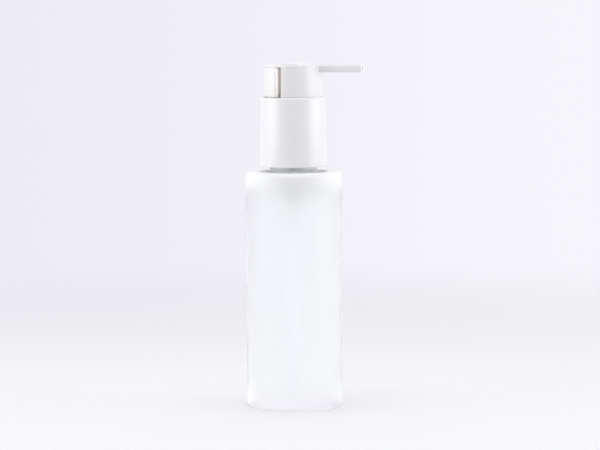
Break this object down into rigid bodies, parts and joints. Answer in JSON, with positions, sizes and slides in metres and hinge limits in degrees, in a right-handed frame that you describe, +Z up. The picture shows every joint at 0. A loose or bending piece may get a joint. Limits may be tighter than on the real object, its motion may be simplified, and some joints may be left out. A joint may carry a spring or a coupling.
{
  "type": "pump bottle",
  "caption": "Free-standing frosted glass bottle for massage oil with a screw-on lotion pump: tall smooth collar, press head with a flat spout and a pull-off lock clip.",
  "frame": {"origin": "centre of the bottle's base, on the table plane, on the common axis of the bottle and the pump", "axes": "+Z up along the bottle, +X along the spout, +Y to the left of someone looking along the spout, lock clip at -X"},
  "size_m": [0.0544, 0.044, 0.1579],
  "materials": {
    "frosted_glass": "acid-frosted clear glass, matt outside",
    "white_plastic": "smooth white polypropylene, semi-gloss",
    "clip_plastic": "white polypropylene, semi-gloss",
    "inner_plastic": "white polypropylene, satin",
    "natural_plastic": "natural milky polypropylene",
    "tube_plastic": "natural milky polyethylene tube",
    "soft_seal": "soft low-density polyethylene",
    "polished_steel": "polished stainless steel ball",
    "spring_steel": "drawn stainless steel wire"
  },
  "bodies": {
    "bottle": {"glass_bottle": "frosted_glass"},
    "pump": {"pump_housing": "natural_plastic", "neck_gasket": "soft_seal", "guide_ring": "inner_plastic", "dip_tube": "tube_plastic", "ball_cage": "natural_plastic", "return_spring": "spring_steel"},
    "cap": {"screw_closure": "inner_plastic", "guide_sleeve": "inner_plastic", "collar_shell": "white_plastic"},
    "plunger": {"piston_core": "natural_plastic", "piston_seal": "soft_seal"},
    "head": {"head_shell": "white_plastic", "head_socket": "inner_plastic", "spout_nozzle": "inner_plastic", "stem": "inner_plastic", "outlet_cage": "natural_plastic"},
    "clip": {"lock_clip": "clip_plastic"},
    "inlet_valve": {"inlet_ball": "polished_steel"},
    "outlet_valve": {"outlet_ball": "polished_steel"}
  },
  "joints": [
    {"name": "pump_lift", "type": "slide", "parent": "bottle", "child": "pump", "axis": [0, 0, 1], "range_m": [0, 0.00476]},
    {"name": "collar_turn", "type": "hinge", "parent": "pump", "child": "cap", "pos_m": [0, 0, 0.12], "axis": [0, 0, 1], "range_deg": [0, 540]},
    {"name": "head_press", "type": "slide", "parent": "pump", "child": "plunger", "axis": [0, 0, -1], "range_m": [0, 0.0095], "stiffness_N_per_m": 400, "springref_m": -0.01, "deforming": ["return_spring"]},
    {"name": "head_turn", "type": "hinge", "parent": "plunger", "child": "head", "pos_m": [0, 0, 0.15], "axis": [0, 0, 1], "continuous": true},
    {"name": "clip_pull", "type": "slide", "parent": "head", "child": "clip", "axis": [-1, 0, 0], "range_m": [0, 0.035]},
    {"name": "inlet_ball_lift", "type": "slide", "parent": "pump", "child": "inlet_valve", "axis": [0, 0, 1], "range_m": [0, 0.0015]},
    {"name": "outlet_ball_lift", "type": "slide", "parent": "head", "child": "outlet_valve", "axis": [0, 0, 1], "range_m": [0, 0.001]}
  ],
  "couplings": [
    {"joint": "collar_turn", "follows": "pump_lift", "rad_per_m": 1979}
  ]
}
